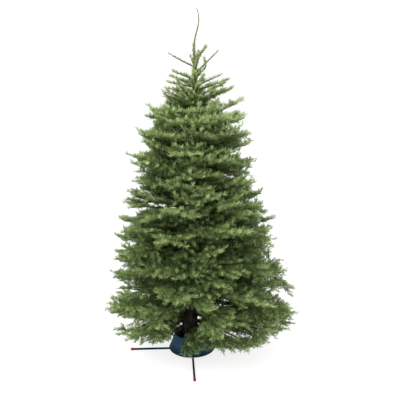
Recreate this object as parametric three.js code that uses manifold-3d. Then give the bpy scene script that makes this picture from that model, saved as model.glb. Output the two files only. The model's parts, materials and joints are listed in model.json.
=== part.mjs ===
// A cut fir Christmas tree in a steel stand: an open water bucket on four rod legs with capped ends,
// four clamp screws that hold the butt, one trunk with its bare leader, and a crown of layered boughs.
// Millimetres, +Z up. The origin is on the floor, at the centre of the hub's flat underside.
import * as THREE from "three";
import Module from "manifold-3d";
import { mergeVertices } from "three/addons/utils/BufferGeometryUtils.js";

const GAP = 0.3; // what touching pieces keep between them
const UP = new THREE.Vector3(0, 0, 1);

// ---- stand ----
const ROUND_SIDES = 10;
const FLAT_SHARE = Math.cos(Math.PI / ROUND_SIDES); // how far out a facet lies, as a share of the radius
const ROD_RADIUS = 6.5;
const CAP = { radius: 8.2, bore: 7.0, length: 26, end: 3, round: 1.5 };
const ROD_HEIGHT = CAP.radius * FLAT_SHARE; // the caps stand on a facet
const LEG_REACH = 402;
const LEG_COUNT = 4;
const LEG_TURN = THREE.MathUtils.degToRad(3); // how far the first leg is turned from +X
const HUB_RADIUS = 60;
const HUB_HEIGHT = ROD_HEIGHT + ROD_RADIUS;
const BUCKET = { base: HUB_HEIGHT + GAP, height: 110, foot: 150, mouth: 113, wall: 3, lip: 4, sides: 24 };
const SCREW = { height: 104, radius: 4.5, reach: 166, handle: 60, handleRadius: 3.6 };
const NUT = { radius: 9, length: 8, sides: 6 };

// ---- trunk ----
const TREE_HEIGHT = 2130;
const BUTT = { height: BUCKET.base + BUCKET.wall + GAP, radius: 54, swell: 5, swellHeight: 60, offset: -16 };
const LEADER = { foot: 1880, radius: 6, tip: 2.2 };
const SWAY = { foot: 1800, growth: 0.07, half: 170 }; // the leader's S-bend, half a wave long each way
const LEAN = 0.0206; // sideways travel for each unit of height
const TAPER = 0.95;
const TRUNK_SIDES = 10;
const TRUNK_STEPS = { swell: 3, stem: 5, leader: 6 };

// ---- crown: one row for each tier of boughs, from the lowest ----
// height on the trunk, rise of its boughs in degrees, reach towards -X and towards +X, masses in the tier
const TIERS = [
  { height: 345, rise: -9, left: 575, right: 730, masses: 4 },
  { height: 505, rise: -4, left: 560, right: 634, masses: 4 },
  { height: 670, rise: 1, left: 524, right: 556, masses: 4 },
  { height: 835, rise: 4, left: 474, right: 502, masses: 4 },
  { height: 1000, rise: 7, left: 420, right: 444, masses: 4 },
  { height: 1165, rise: 10, left: 376, right: 378, masses: 3 },
  { height: 1325, rise: 14, left: 318, right: 350, masses: 3 },
  { height: 1480, rise: 18, left: 282, right: 318, masses: 3 },
  { height: 1625, rise: 24, left: 158, right: 250, masses: 3 },
];
const BARE_TIERS = 2; // the lowest tiers, whose boughs show between the trunk and their masses
const BARE_REACH = 175;
const BOUGH = { root: 15, end: 10, reach: BARE_REACH - 3 * GAP, sag: 8, sides: 8, steps: 4 };
const FINGERS = 4; // points along the outer edge of a mass
const FINGER = [0.83, 1.02, 1.05]; // reach over one finger: its notch, then its blunt end
const RIDGE = [0.72, 1, 0.92]; // thickness over one finger
const UNEVEN = 0.08;
const MASS_LABELS = "abcd";
const FIRST_SEED = 7;
const TIER_SEEDS = 100; // from one tier's seeds to those of the next
const TIER_TURN = THREE.MathUtils.degToRad(27); // from one tier's masses to those of the next
const SECTOR_GAP = THREE.MathUtils.degToRad(2.4);
const LOWEST_DEPTH = 78;
const TOP_DEPTH = 62;
// from a mass's inner edge outwards: share of its reach, and share of the room between tiers that it fills
const SECTION = [
  { along: 0, fill: 0.7 },
  { along: 0.78, fill: 0.88 },
];

// ---- topmost shoots: direction round the leader and rise in degrees, height of the foot, length ----
const SHOOTS = [
  { turn: 180, rise: 27, height: 1806, length: 172 },
  { turn: 2, rise: 43, height: 1764, length: 196 },
  { turn: 300, rise: 58, height: 1790, length: 132 },
  { turn: 95, rise: 60, height: 1812, length: 118 },
  { turn: 238, rise: 46, height: 1772, length: 138 },
];
const SHOOT = { root: 4, belly: 9, tip: 3, bend: 10, sides: 7, steps: 5 };

const PAINT_BLUE = new THREE.MeshStandardMaterial({ color: 0x1f4466, roughness: 0.35, metalness: 0.25 });
const CAP_RED = new THREE.MeshStandardMaterial({ color: 0xb3202c, roughness: 0.5, metalness: 0 });
const ZINC = new THREE.MeshStandardMaterial({ color: 0x8c9196, roughness: 0.4, metalness: 0.9 });
const BARK = new THREE.MeshStandardMaterial({ color: 0x4d3b30, roughness: 0.95, metalness: 0 });
const NEEDLES = new THREE.MeshStandardMaterial({ color: 0x58753a, roughness: 0.8, metalness: 0 });

const wasm = await Module();
wasm.setup();

const tree = new THREE.Group();

function add(name, geometry, material, height = 0, turn = 0) {
  const mesh = new THREE.Mesh(geometry, material);
  mesh.name = name;
  mesh.position.z = height;
  mesh.rotation.z = turn;
  tree.add(mesh);
}

// ---- solids ----

function toManifold(geometry) {
  const bare = geometry.clone();
  bare.deleteAttribute("normal");
  bare.deleteAttribute("uv");
  const merged = mergeVertices(bare, 1e-3);
  const vertProperties = new Float32Array(merged.attributes.position.array);
  const triVerts = new Uint32Array(merged.index.array);
  return new wasm.Manifold(new wasm.Mesh({ numProp: 3, vertProperties, triVerts }));
}

function toGeometry(solid) {
  const mesh = solid.getMesh();
  const geometry = new THREE.BufferGeometry();
  geometry.setAttribute("position", new THREE.BufferAttribute(mesh.vertProperties, 3));
  geometry.setIndex(new THREE.BufferAttribute(mesh.triVerts, 1));
  return geometry;
}

function middle(ring) {
  const sum = ring.reduce((total, point) => total.add(point), new THREE.Vector3());
  return sum.divideScalar(ring.length);
}

// A closed cylinder moved onto rings of points, each counterclockwise as seen from beyond the last ring.
function loft(rings) {
  const sides = rings[0].length;
  const steps = rings.length - 1;
  const geometry = new THREE.CylinderGeometry(1, 1, 1, sides, steps);
  const positions = geometry.attributes.position;
  const corner = new THREE.Vector3();
  for (let i = 0; i < positions.count; i++) {
    corner.fromBufferAttribute(positions, i);
    const ring = rings[Math.round((corner.y + 0.5) * steps)];
    const onAxis = Math.hypot(corner.x, corner.z) < 0.5;
    const turns = Math.atan2(corner.x, corner.z) / (2 * Math.PI);
    const point = onAxis ? middle(ring) : ring[(Math.round(turns * sides) + sides) % sides];
    positions.setXYZ(i, point.x, point.y, point.z);
  }
  return geometry;
}

// A round limb whose rings all face one way, so that its two ends are flat cuts.
function limb({ centre, radius, facing, sides, steps }) {
  const turned = new THREE.Quaternion().setFromUnitVectors(UP, facing);
  const rings = [];
  for (let i = 0; i <= steps; i++) {
    const share = i / steps;
    const ring = [];
    for (let j = 0; j < sides; j++) {
      const angle = (2 * Math.PI * j) / sides;
      const spoke = new THREE.Vector3(Math.cos(angle), Math.sin(angle), 0).applyQuaternion(turned);
      ring.push(centre(share).addScaledVector(spoke, radius(share)));
    }
    rings.push(ring);
  }
  return loft(rings);
}

// A cylinder along +X, from one distance to another, that lies on a facet.
function rod(radius, from, to, sides = ROUND_SIDES) {
  return new THREE.CylinderGeometry(radius, radius, to - from, sides)
    .rotateY(Math.PI / sides)
    .rotateZ(-Math.PI / 2)
    .translate((from + to) / 2, 0, 0);
}

function outwardAt(angle) {
  return new THREE.Vector3(Math.cos(angle), Math.sin(angle), 0);
}

// ---- trunk ----

function trunkRadius(height) {
  if (height > LEADER.foot) {
    return THREE.MathUtils.mapLinear(height, LEADER.foot, TREE_HEIGHT, LEADER.radius, LEADER.tip);
  }
  const swell = BUTT.swell * Math.exp((BUTT.height - height) / BUTT.swellHeight);
  return LEADER.radius + (BUTT.radius - LEADER.radius) * (1 - height / LEADER.foot) ** TAPER + swell;
}

function trunkCentre(height) {
  const above = Math.max(0, height - SWAY.foot);
  const sway = SWAY.growth * above * Math.sin((Math.PI * above) / SWAY.half);
  return new THREE.Vector3(BUTT.offset + LEAN * height - sway, 0, height);
}

// The heights of the trunk's rings, close together on the swelling of the butt and on the leader.
function trunkHeights() {
  const spread = (from, to, steps) =>
    Array.from({ length: steps }, (_, i) => THREE.MathUtils.lerp(from, to, i / steps));
  const swellTop = BUTT.height + 3 * BUTT.swellHeight;
  return [
    ...spread(BUTT.height, swellTop, TRUNK_STEPS.swell),
    ...spread(swellTop, SWAY.foot, TRUNK_STEPS.stem),
    ...spread(SWAY.foot, TREE_HEIGHT, TRUNK_STEPS.leader),
    TREE_HEIGHT,
  ];
}

function trunkGeometry(clearance) {
  const heights = trunkHeights();
  const steps = heights.length - 1;
  const heightAt = (share) => heights[Math.round(share * steps)];
  return limb({
    centre: (share) => trunkCentre(heightAt(share)),
    radius: (share) => trunkRadius(heightAt(share)) + clearance,
    facing: UP,
    sides: TRUNK_SIDES,
    steps,
  });
}

const trunkSpace = toManifold(trunkGeometry(GAP)); // the trunk and the gap that is kept round it

function cutRoundTrunk(geometry) {
  return toGeometry(toManifold(geometry).subtract(trunkSpace));
}

// ---- stand ----

function legTurn(index) {
  return LEG_TURN + (index * 2 * Math.PI) / LEG_COUNT;
}

function addHub() {
  const hub = new THREE.CylinderGeometry(HUB_RADIUS, HUB_RADIUS, HUB_HEIGHT, 2 * ROUND_SIDES)
    .rotateX(Math.PI / 2)
    .translate(0, 0, HUB_HEIGHT / 2);
  add("stand_hub", hub, PAINT_BLUE);
}

function capGeometry() {
  const outline = [
    [0, 0],
    [CAP.radius - CAP.round, 0],
    [CAP.radius, CAP.round],
    [CAP.radius, CAP.length],
    [CAP.bore, CAP.length],
    [CAP.bore, CAP.end],
    [0, CAP.end],
  ];
  const points = outline.map(([radius, along]) => new THREE.Vector2(radius, along));
  return new THREE.LatheGeometry(points, ROUND_SIDES)
    .rotateY(Math.PI / ROUND_SIDES)
    .rotateZ(Math.PI / 2)
    .translate(LEG_REACH, 0, 0);
}

function addLegs() {
  for (let i = 0; i < LEG_COUNT; i++) {
    const leg = rod(ROD_RADIUS, HUB_RADIUS + GAP, LEG_REACH - CAP.end - GAP);
    add(`stand_leg_${i + 1}`, leg, PAINT_BLUE, ROD_HEIGHT, legTurn(i));
    add(`leg_cap_${i + 1}`, capGeometry(), CAP_RED, ROD_HEIGHT, legTurn(i));
  }
}

function bucketGeometry() {
  const { base, height, foot, mouth, wall, lip, sides } = BUCKET;
  const top = base + height;
  const outline = [
    [0, base],
    [foot - lip / 2, base],
    [foot, base + lip / 2],
    [foot, base + lip],
    [mouth, top - 2 * lip],
    [mouth + lip, top - lip],
    [mouth + lip / 2, top],
    [mouth - wall, top],
    [mouth - wall, top - 2 * lip],
    [foot - 2 * wall, base + 2 * wall],
    [foot - 4 * wall, base + wall],
    [0, base + wall],
  ];
  const points = outline.map(([radius, z]) => new THREE.Vector2(radius, z));
  return new THREE.LatheGeometry(points, sides).rotateX(Math.PI / 2);
}

function addBucket() {
  let bucket = toManifold(bucketGeometry());
  for (let i = 0; i < LEG_COUNT; i++) {
    const hole = rod(SCREW.radius + GAP, BUCKET.mouth / 2, BUCKET.foot)
      .rotateZ(legTurn(i))
      .translate(0, 0, SCREW.height);
    bucket = bucket.subtract(toManifold(hole));
  }
  add("stand_bucket", toGeometry(bucket), PAINT_BLUE);
}

// One clamp screw, from the trunk's side out through the bucket's wall, with its nut and its cross handle.
function screwGeometry(turn) {
  const bucketTop = BUCKET.base + BUCKET.height;
  const nutFoot = SCREW.height - NUT.radius;
  const wall = THREE.MathUtils.mapLinear(nutFoot, BUCKET.base, bucketTop, BUCKET.foot, BUCKET.mouth);
  const shank = rod(SCREW.radius, 0, SCREW.reach);
  const nut = rod(NUT.radius, wall + GAP, wall + GAP + NUT.length, NUT.sides);
  const handle = rod(SCREW.handleRadius, -SCREW.handle / 2, SCREW.handle / 2)
    .rotateZ(Math.PI / 2)
    .translate(SCREW.reach - SCREW.handleRadius, 0, 0);
  const screw = toManifold(shank).add(toManifold(nut)).add(toManifold(handle));
  return toGeometry(screw).rotateZ(turn).translate(0, 0, SCREW.height);
}

function addScrews() {
  for (let i = 0; i < LEG_COUNT; i++) {
    add(`clamp_screw_${i + 1}`, cutRoundTrunk(screwGeometry(legTurn(i))), ZINC);
  }
}

// ---- crown ----

// The same numbers between 0 and 1 for the same seed.
function seeded(seed) {
  let state = seed;
  return () => {
    state = (state + 0x6d2b79f5) | 0;
    let mixed = Math.imul(state ^ (state >>> 15), 1 | state);
    mixed = (mixed + Math.imul(mixed ^ (mixed >>> 7), 61 | mixed)) ^ mixed;
    return ((mixed ^ (mixed >>> 14)) >>> 0) / 2 ** 32;
  };
}

function surface(tier, radius) {
  return tier.height + radius * Math.tan(THREE.MathUtils.degToRad(tier.rise));
}

// Half the room above a tier (side 1) or below it (side -1), at one radius.
function room(index, side, radius) {
  const next = TIERS[index + side];
  if (!next) return side > 0 ? TOP_DEPTH : LOWEST_DEPTH;
  return Math.abs(surface(next, radius) - surface(TIERS[index], radius)) / 2;
}

function reach(tier, angle) {
  return (tier.left + tier.right) / 2 + ((tier.right - tier.left) / 2) * Math.cos(angle);
}

function sector(index, mass) {
  const width = (2 * Math.PI) / TIERS[index].masses;
  return { start: index * TIER_TURN + mass * width + SECTOR_GAP / 2, width: width - SECTOR_GAP };
}

function tierPoint(tier, angle, radius, height) {
  return trunkCentre(tier.height).setZ(height).addScaledVector(outwardAt(angle), radius);
}

// One mass: an uneven layer of foliage over a sector, with a row of fingers along its outer edge.
function massGeometry(index, mass) {
  const tier = TIERS[index];
  const random = seeded(TIER_SEEDS * index + mass + FIRST_SEED);
  const { start, width } = sector(index, mass);
  const inner = index < BARE_TIERS ? BARE_REACH : trunkRadius(tier.height) / 2;
  const steps = FINGERS * FINGER.length;
  const rings = [];
  for (let i = 0; i <= steps; i++) {
    const phase = i % FINGER.length;
    const angle = start + (width * i) / steps;
    const outer = reach(tier, angle) * FINGER[phase] * (1 - UNEVEN * random());
    const thickness = RIDGE[phase] * (1 - UNEVEN * random());
    const face = (side) =>
      SECTION.map(({ along, fill }) => {
        const radius = THREE.MathUtils.lerp(inner, outer, along);
        const depth = fill * thickness * room(index, side, radius);
        return tierPoint(tier, angle, radius, surface(tier, radius) + side * depth);
      });
    const tip = tierPoint(tier, angle, outer, surface(tier, outer));
    rings.push([...face(1), tip, ...face(-1).reverse()]);
  }
  return loft(rings);
}

// The bare length of a bough, from the trunk to the inner edge of its mass.
function boughGeometry(index, mass) {
  const tier = TIERS[index];
  const { start, width } = sector(index, mass);
  const angle = start + width / 2;
  return limb({
    centre: (share) => {
      const radius = BOUGH.reach * share;
      return tierPoint(tier, angle, radius, surface(tier, radius) - BOUGH.sag * Math.sin(Math.PI * share));
    },
    radius: (share) => THREE.MathUtils.lerp(BOUGH.root, BOUGH.end, share),
    facing: outwardAt(angle),
    sides: BOUGH.sides,
    steps: BOUGH.steps,
  });
}

function addCrown() {
  TIERS.forEach((tier, index) => {
    for (let mass = 0; mass < tier.masses; mass++) {
      const label = `${index + 1}_${MASS_LABELS[mass]}`;
      add(`foliage_${label}`, cutRoundTrunk(massGeometry(index, mass)), NEEDLES);
      if (index < BARE_TIERS) add(`bough_${label}`, cutRoundTrunk(boughGeometry(index, mass)), BARK);
    }
  });
}

// The needled shoots of the last whorl, thin at the root, full in the middle and pointed.
function shootGeometry({ turn, rise, height, length }) {
  const slope = THREE.MathUtils.degToRad(rise);
  const outward = outwardAt(THREE.MathUtils.degToRad(turn));
  const along = outward.clone().multiplyScalar(Math.cos(slope)).setZ(Math.sin(slope));
  const below = outward.clone().multiplyScalar(Math.sin(slope)).setZ(-Math.cos(slope));
  const foot = trunkCentre(height);
  const bend = foot.clone().addScaledVector(along, length / 2).addScaledVector(below, SHOOT.bend);
  const curve = new THREE.QuadraticBezierCurve3(foot, bend, foot.clone().addScaledVector(along, length));
  return limb({
    centre: (share) => curve.getPoint(share),
    radius: (share) =>
      THREE.MathUtils.lerp(SHOOT.root, SHOOT.tip, share) +
      (SHOOT.belly - SHOOT.root) * Math.sin(Math.PI * share),
    facing: along,
    sides: SHOOT.sides,
    steps: SHOOT.steps,
  });
}

function addTopShoots() {
  SHOOTS.forEach((shoot, i) => {
    add(`top_shoot_${i + 1}`, cutRoundTrunk(shootGeometry(shoot)), NEEDLES);
  });
}

addHub();
addLegs();
addBucket();
addScrews();
add("trunk", trunkGeometry(0), BARK);
addCrown();
addTopShoots();

export default tree;
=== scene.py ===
"""A cut fir Christmas tree, clamped in a steel water stand. Metres, +Z up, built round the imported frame.

The trunk and the stand are modelled piece by piece. The crown grows from the trunk by a seeded rule: boughs
carry side branches, side branches carry fingers, and all of them carry needles. They end up as one mesh of
boughs, one of twigs and a few of needles.

Directions round the trunk are in degrees: 0 is right, 90 is back, 180 is left and 270 is front.
"""
import json
import math
from typing import NamedTuple

import bpy
import numpy as np
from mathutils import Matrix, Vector, noise


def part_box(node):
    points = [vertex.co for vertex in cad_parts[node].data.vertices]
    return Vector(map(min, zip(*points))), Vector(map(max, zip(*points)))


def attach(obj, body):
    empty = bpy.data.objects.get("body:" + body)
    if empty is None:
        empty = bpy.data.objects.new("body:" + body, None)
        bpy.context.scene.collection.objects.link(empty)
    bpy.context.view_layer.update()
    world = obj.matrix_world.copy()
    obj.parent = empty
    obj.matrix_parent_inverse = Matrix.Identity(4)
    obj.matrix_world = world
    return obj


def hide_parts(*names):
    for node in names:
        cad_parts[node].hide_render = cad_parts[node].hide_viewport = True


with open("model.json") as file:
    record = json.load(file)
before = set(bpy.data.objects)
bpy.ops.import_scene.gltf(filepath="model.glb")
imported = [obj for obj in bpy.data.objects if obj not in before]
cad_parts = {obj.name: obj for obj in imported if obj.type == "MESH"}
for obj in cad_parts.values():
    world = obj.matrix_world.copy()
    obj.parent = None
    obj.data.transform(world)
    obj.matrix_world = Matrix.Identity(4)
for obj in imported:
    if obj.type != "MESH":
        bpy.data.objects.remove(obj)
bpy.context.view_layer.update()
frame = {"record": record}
node_names = [row["node"] for row in frame["record"]["subparts"]]

SEED = 32
rng = np.random.default_rng(SEED)
# each bough draws its own numbers, so a change to one leaves the rest alone
bough_seeds = np.random.SeedSequence(SEED)

UP = np.array([0.0, 0.0, 1.0])
BACK = np.array([0.0, 1.0, 0.0])

# ---- trunk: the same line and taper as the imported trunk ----

TRUNK_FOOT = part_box("trunk")[0].z
TREE_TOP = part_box("trunk")[1].z
BUTT_OFFSET = -0.016  # how far right of the stand's middle the trunk's line meets the ground
LEAN = 0.0206  # to the right, for each metre up
BUTT_RADIUS = 0.054
BUTT_SWELL = 0.005  # how much thicker the cut end is
SWELL_HEIGHT = 0.060  # over which the swelling dies away
TAPER = 0.95  # the power of the taper, 1 for a straight one
LEADER_FOOT = 1.880
LEADER_RADIUS = 0.006
LEADER_TIP = 0.0022
SWAY_FOOT = 1.800  # from here up the trunk bends to the left, then to the right
SWAY_GROWTH = 0.07
SWAY_HALF = 0.170  # the height of one bend
TRUNK_SIDES = 48


def unit(vectors):
    """The same directions, with length 1."""
    return vectors / np.linalg.norm(vectors, axis=-1, keepdims=True)


def trunk_radius(height):
    """The trunk's radius at this height, or at these."""
    below = LEADER_RADIUS + (BUTT_RADIUS - LEADER_RADIUS) * np.clip(1 - height / LEADER_FOOT, 0, 1) ** TAPER
    below = below + BUTT_SWELL * np.exp((TRUNK_FOOT - height) / SWELL_HEIGHT)
    above = np.interp(height, [LEADER_FOOT, TREE_TOP], [LEADER_RADIUS, LEADER_TIP])
    return np.where(height > LEADER_FOOT, above, below)


def trunk_centre(height):
    """The point of the trunk's middle line at this height, or the points at these."""
    above = np.maximum(0, height - SWAY_FOOT)
    sway = SWAY_GROWTH * above * np.sin(np.pi * above / SWAY_HALF)
    return np.stack([BUTT_OFFSET + LEAN * height - sway, 0 * height, height], axis=-1)


# ---- meshes from arrays ----

def make_mesh(name, points, faces, materials, slots=None, smooth=True):
    """A mesh object from points (n, 3) and faces (m, 4), with the number of each face's material."""
    mesh = bpy.data.meshes.new(name)
    corners = faces.shape[1]
    mesh.vertices.add(len(points))
    mesh.vertices.foreach_set("co", np.asarray(points, np.float32).ravel())
    mesh.loops.add(faces.size)
    mesh.loops.foreach_set("vertex_index", faces.astype(np.int32).ravel())
    mesh.polygons.add(len(faces))
    mesh.polygons.foreach_set("loop_start", np.arange(0, faces.size, corners, dtype=np.int32))
    mesh.polygons.foreach_set("loop_total", np.full(len(faces), corners, np.int32))
    for material in materials:
        mesh.materials.append(material)
    if slots is not None:
        mesh.polygons.foreach_set("material_index", slots.astype(np.int32))
    mesh.update(calc_edges=True)
    if smooth:
        mesh.shade_smooth()
    piece = bpy.data.objects.new(name, mesh)
    bpy.context.collection.objects.link(piece)
    return piece


def declare(piece, nodes=()):
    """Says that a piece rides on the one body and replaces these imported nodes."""
    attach(piece, "root")
    if nodes:
        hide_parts(*nodes)


def nodes_named(*starts):
    """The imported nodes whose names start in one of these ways."""
    return [name for name in node_names if name.startswith(starts)]


def circle(sides):
    """The cosines and the sines of even turns, as columns."""
    turns = 2 * np.pi * np.arange(sides) / sides
    return np.cos(turns)[:, None], np.sin(turns)[:, None]


def quads_between(index):
    """Quads from each ring of point numbers to the next. The last two axes are rings and their points."""
    this, following = index[..., :-1, :], index[..., 1:, :]
    quads = np.stack([this, np.roll(this, -1, -1), np.roll(following, -1, -1), following], axis=-1)
    return quads.reshape(-1, 4)


def tubes(paths, tops, radii, relief):
    """Points and quads of many tubes: paths (n, rings, 3), tops (n, 3), radii (n, rings).

    The relief, of shape (n, rings, sides), is added to the radii.
    """
    along = unit(np.gradient(paths, axis=1))
    across = unit(np.cross(along, tops[:, None, :]))
    above = np.cross(across, along)
    count, rings, sides = relief.shape
    cosines, sines = circle(sides)
    spokes = across[:, :, None, :] * cosines + above[:, :, None, :] * sines
    points = paths[:, :, None, :] + spokes * (radii[:, :, None] + relief)[..., None]
    index = np.arange(count * rings * sides).reshape(count, rings, sides)
    return points.reshape(-1, 3), quads_between(index)


def turned(profile, sides, origin=(0, 0, 0), axis=(0, 0, 1)):
    """Points and quads of a shape turned round an axis, from pairs of a radius and a distance along it."""
    along = unit(np.array(axis, float))
    upright = abs(along[2]) > 0.9
    across = unit(np.cross(along, BACK if upright else UP))
    third = np.cross(along, across)
    cosines, sines = circle(sides)
    spokes = cosines * across + sines * third
    radii, places = np.array(profile).T
    points = np.array(origin) + radii[:, None, None] * spokes + places[:, None, None] * along
    index = np.arange(radii.size * sides).reshape(-1, sides)
    return points.reshape(-1, 3), quads_between(index)


def rounded(radius, place, size, start, end, steps=6):
    """A profile's rounded corner: an arc about a point, between two angles in degrees."""
    angles = np.radians(np.linspace(start, end, steps + 1))
    return [(radius + size * math.cos(angle), place + size * math.sin(angle)) for angle in angles]


def join(parts):
    """One set of points and faces from several, with the faces' numbers moved along."""
    offsets = np.cumsum([0] + [len(points) for points, _ in parts[:-1]])
    points = np.concatenate([points for points, _ in parts])
    faces = np.concatenate([faces + offset for (_, faces), offset in zip(parts, offsets)])
    return points, faces


# ---- materials ----

# how close a pattern's waves are along X, Y and Z: below 1 along Z they are drawn out from top to bottom
EVEN = (1, 1, 1)
TALL = (1, 1, 0.5)
TALLEST = (1, 1, 0.3)
BUMP_DETAIL = 6.0
# the heights between which a colour changes
BROWN_BARK = (0.34, 0.50)  # from the butt's near black, which is painted shade, to brown
YOUNG_BARK = (1.30, 1.55)  # from brown to smooth and olive
BUCKET_FOOT_SHADE = (0.018, 0.070)  # from the painted shade at the bucket's dark foot to its lighter wall


def plain_material(name, color, roughness, specular):
    """A material of one colour, unless a pattern is linked to it later."""
    material = bpy.data.materials.new(name)
    material.use_nodes = True
    shader = material.node_tree.nodes["Principled BSDF"]
    shader.inputs["Base Color"].default_value = (*color, 1)
    shader.inputs["Roughness"].default_value = roughness
    shader.inputs["Specular IOR Level"].default_value = specular
    return material


def fill(material, node, inputs):
    """Sets a node's inputs, or links them where the value is another node's output."""
    for key, value in inputs.items():
        socket = node.inputs[key.replace("_", " ")]
        if isinstance(value, bpy.types.NodeSocket):
            material.node_tree.links.new(value, socket)
        else:
            socket.default_value = value


def set_shader(material, **inputs):
    """Sets or links inputs of the material's shader."""
    fill(material, material.node_tree.nodes["Principled BSDF"], inputs)


def add_node(material, kind, **inputs):
    """A new shader node of this kind, with its inputs set or linked."""
    node = material.node_tree.nodes.new("ShaderNode" + kind)
    fill(material, node, inputs)
    return node


def noise_over(material, scale, detail, stretch):
    """A value that wanders between 0 and 1 over the piece."""
    place = add_node(material, "TexCoord").outputs["Object"]
    stretched = add_node(material, "Mapping", Vector=place, Scale=stretch).outputs["Vector"]
    texture = add_node(material, "TexNoise", Vector=stretched, Scale=scale, Detail=detail)
    return texture.outputs["Fac"]


def noise_color(material, stops, scale, detail=4.0, stretch=EVEN):
    """A colour that wanders between these stops over the piece."""
    ramp = add_node(material, "ValToRGB", Fac=noise_over(material, scale, detail, stretch))
    elements = ramp.color_ramp.elements
    while len(elements) < len(stops):
        elements.new(0.5)
    for element, (position, color) in zip(elements, stops):
        element.position = position
        element.color = (*color, 1)
    return ramp.outputs["Color"]


def bumps(material, scale, distance, strength, stretch=EVEN):
    """A surface that wanders up and down by this distance."""
    height = noise_over(material, scale, BUMP_DETAIL, stretch)
    bump = add_node(material, "Bump", Height=height, Strength=strength, Distance=distance)
    return bump.outputs["Normal"]


def by_height(material, heights, low_color, high_color):
    """One colour below two heights, another above them, and a change between them."""
    low, high = heights
    place = add_node(material, "TexCoord").outputs["Object"]
    height = add_node(material, "SeparateXYZ", Vector=place).outputs["Z"]
    share = add_node(material, "MapRange", Value=height, From_Min=low, From_Max=high).outputs["Result"]
    mix = add_node(material, "Mix")
    mix.data_type = "RGBA"
    color_inputs = [socket for socket in mix.inputs if socket.type == "RGBA"]
    for value, socket in zip((share, low_color, high_color), (mix.inputs["Factor"], *color_inputs)):
        material.node_tree.links.new(value, socket)
    return next(socket for socket in mix.outputs if socket.type == "RGBA")


def bark_material():
    """Plated bark, near black with painted shade at the butt and brown inside the crown, that turns smooth
    and olive above.
    """
    material = plain_material("bark", (0.05, 0.04, 0.03), roughness=0.9, specular=0.2)
    # painted shade: the butt's near black, where it stands in the bucket under the lowest boughs
    butt_shade = noise_color(material, [
        (0.34, (0.005, 0.005, 0.005)),
        (0.52, (0.020, 0.017, 0.016)),
        (0.72, (0.065, 0.055, 0.048)),
    ], scale=60.0, detail=8.0, stretch=TALLEST)
    shaded = noise_color(material, [
        (0.34, (0.018, 0.012, 0.007)),
        (0.52, (0.050, 0.032, 0.019)),
        (0.72, (0.110, 0.076, 0.046)),
    ], scale=60.0, detail=8.0, stretch=TALLEST)
    young = noise_color(material, [
        (0.35, (0.075, 0.085, 0.035)),
        (0.65, (0.185, 0.200, 0.095)),
    ], scale=120.0, detail=3.0, stretch=TALLEST)
    color = by_height(material, YOUNG_BARK, by_height(material, BROWN_BARK, butt_shade, shaded), young)
    relief = bumps(material, scale=150.0, distance=0.0015, strength=0.7, stretch=TALLEST)
    set_shader(material, Base_Color=color, Normal=relief)
    return material


def limb_material():
    """The boughs' olive-brown bark."""
    material = plain_material("limb_bark", (0.03, 0.03, 0.015), roughness=0.85, specular=0.2)
    color = noise_color(material, [
        (0.35, (0.018, 0.021, 0.009)),
        (0.65, (0.060, 0.056, 0.028)),
    ], scale=110.0, stretch=TALL)
    relief = bumps(material, scale=300.0, distance=0.0006, strength=0.5)
    set_shader(material, Base_Color=color, Normal=relief)
    return material


def paint_material():
    """Navy enamel, a little uneven, with painted shade darkening a band round the bucket's foot; the legs
    take that darker colour too.
    """
    material = plain_material("navy_enamel", (0.01, 0.04, 0.10), roughness=0.45, specular=0.03)
    body = noise_color(material, [
        (0.30, (0.015, 0.052, 0.096)),
        (0.70, (0.032, 0.090, 0.155)),
    ], scale=9.0, detail=5.0)
    # painted shade: the darker navy round the bucket's foot, which the legs below take too
    foot = noise_color(material, [
        (0.30, (0.002, 0.012, 0.026)),
        (0.70, (0.004, 0.026, 0.052)),
    ], scale=9.0, detail=5.0)
    color = by_height(material, BUCKET_FOOT_SHADE, foot, body)
    relief = bumps(material, scale=260.0, distance=0.0003, strength=0.5)
    set_shader(material, Base_Color=color, Normal=relief)
    return material


def vinyl_material():
    """The soft red vinyl of the legs' caps."""
    material = plain_material("red_vinyl", (0.4, 0.01, 0.02), roughness=0.5, specular=0.15)
    color = noise_color(material, [
        (0.3, (0.24, 0.004, 0.014)),
        (0.7, (0.36, 0.008, 0.024)),
    ], scale=60.0)
    relief = bumps(material, scale=900.0, distance=0.0002, strength=0.4)
    set_shader(material, Base_Color=color, Normal=relief)
    return material


def zinc_material():
    """The zinc plating of the clamp screws."""
    material = plain_material("zinc_plate", (0.3, 0.3, 0.32), roughness=0.38, specular=0.5)
    color = noise_color(material, [
        (0.3, (0.16, 0.165, 0.18)),
        (0.7, (0.36, 0.365, 0.38)),
    ], scale=90.0)
    relief = bumps(material, scale=500.0, distance=0.0003, strength=0.4)
    set_shader(material, Base_Color=color, Metallic=0.9, Normal=relief)
    return material


# ---- crown: its outline and its layers of boughs ----

# height of the tips, and how far they reach from the trunk to the left and to the right
OUTLINE = np.array([
    (0.20, 0.44, 0.54), (0.27, 0.48, 0.65), (0.42, 0.485, 0.62), (0.55, 0.465, 0.575),
    (0.70, 0.46, 0.52), (0.85, 0.43, 0.475), (1.00, 0.385, 0.425), (1.15, 0.345, 0.355),
    (1.30, 0.310, 0.320), (1.45, 0.275, 0.305), (1.54, 0.258, 0.285), (1.60, 0.180, 0.215),
    (1.74, 0.120, 0.180),
])
DEEPER = 0.09  # how much further it reaches to the front and to the back, as a share
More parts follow.
